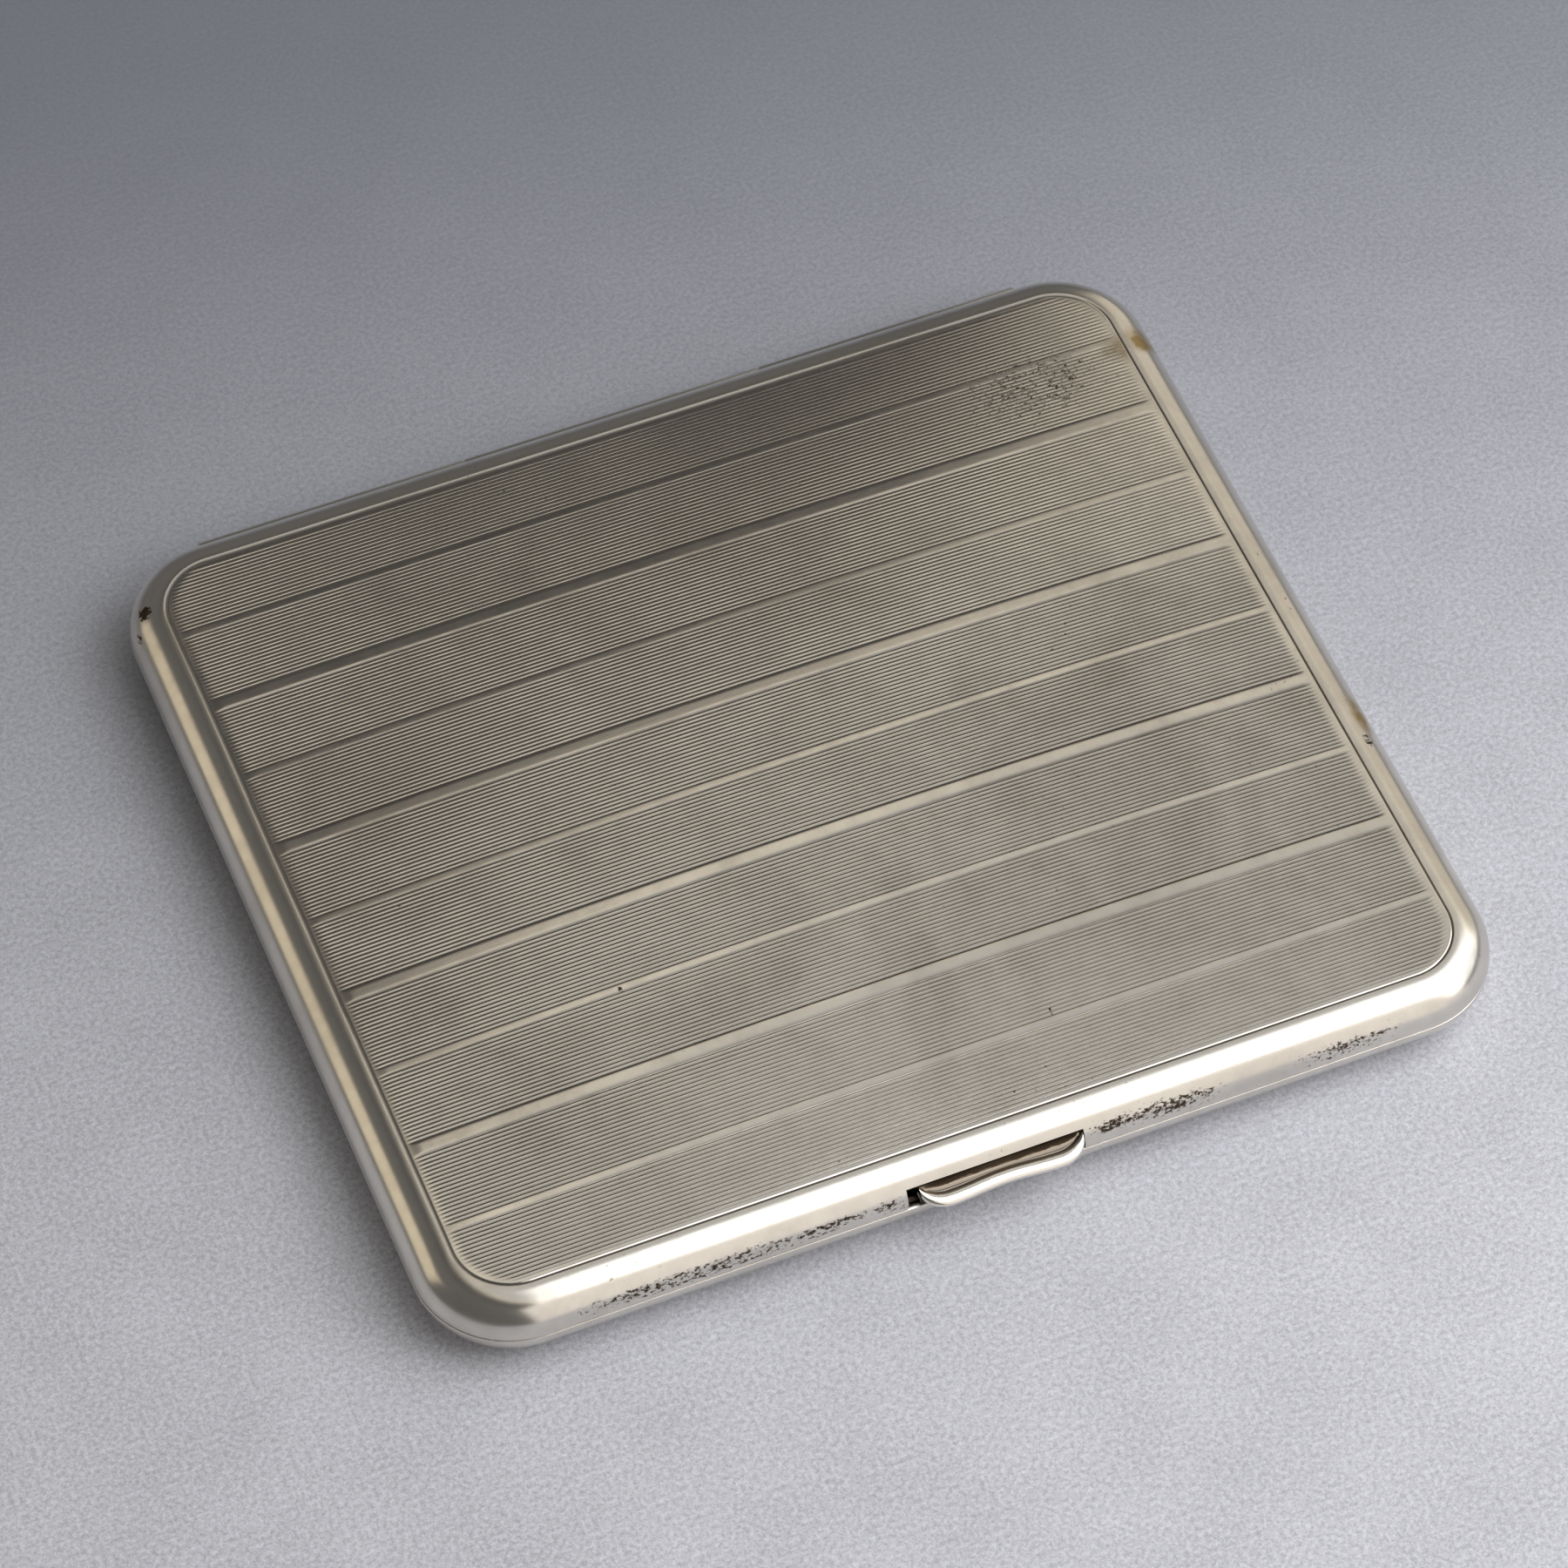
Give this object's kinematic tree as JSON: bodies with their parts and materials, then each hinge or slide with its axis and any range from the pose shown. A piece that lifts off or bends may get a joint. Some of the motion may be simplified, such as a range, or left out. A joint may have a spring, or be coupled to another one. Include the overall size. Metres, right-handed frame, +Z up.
{
  "type": "cigarette case",
  "caption": "Slim flat metal cigarette case with rounded corners, a crowned lid with engine-turned lines across it, a hinge along the back and a sideways thumb slide at the front.",
  "frame": {"origin": "on the surface the case lies on, under the middle of its plan box", "axes": "+X to the right along the hinge with the thumb-piece facing the viewer, +Y towards the hinge, +Z up through the lid"},
  "size_m": [0.096, 0.0888, 0.0088],
  "materials": {
    "case_silver": "worn silver, lightly tarnished",
    "inner_silver": "satin silver",
    "thumb_silver": "polished silver, tarnished in the hollow",
    "spring_steel": "drawn steel",
    "rivet_brass": "plain brass",
    "band_elastic": "woven elastic ribbon"
  },
  "bodies": {
    "base": {"base_shell": "case_silver", "base_bezel": "inner_silver", "hinge_knuckle_base_left": "case_silver", "hinge_knuckle_base_right": "case_silver", "hinge_pin": "spring_steel", "catch_keeper": "inner_silver", "band_bracket_left": "inner_silver", "band_bracket_right": "inner_silver", "band_rivet_left": "rivet_brass", "band_rivet_right": "rivet_brass", "elastic_band": "band_elastic"},
    "lid": {"lid_shell": "case_silver", "hinge_knuckle_lid": "case_silver", "slide_guide_left": "inner_silver", "slide_guide_right": "inner_silver", "spring_block": "inner_silver", "return_spring": "spring_steel"},
    "catch": {"thumb_piece": "thumb_silver", "slide_bar": "inner_silver", "thumb_rivet_left": "rivet_brass", "thumb_rivet_right": "rivet_brass"}
  },
  "joints": [
    {"name": "lid_hinge", "type": "hinge", "parent": "base", "child": "lid", "pos_m": [0, 0.04342, 0.00425], "axis": [-1, 0, 0], "range_deg": [0, 170]},
    {"name": "catch_slide", "type": "slide", "parent": "lid", "child": "catch", "axis": [-1, 0, 0], "range_m": [0, 0.001], "stiffness_N_per_m": 800, "springref_m": -0.002, "deforming": ["return_spring"]}
  ]
}
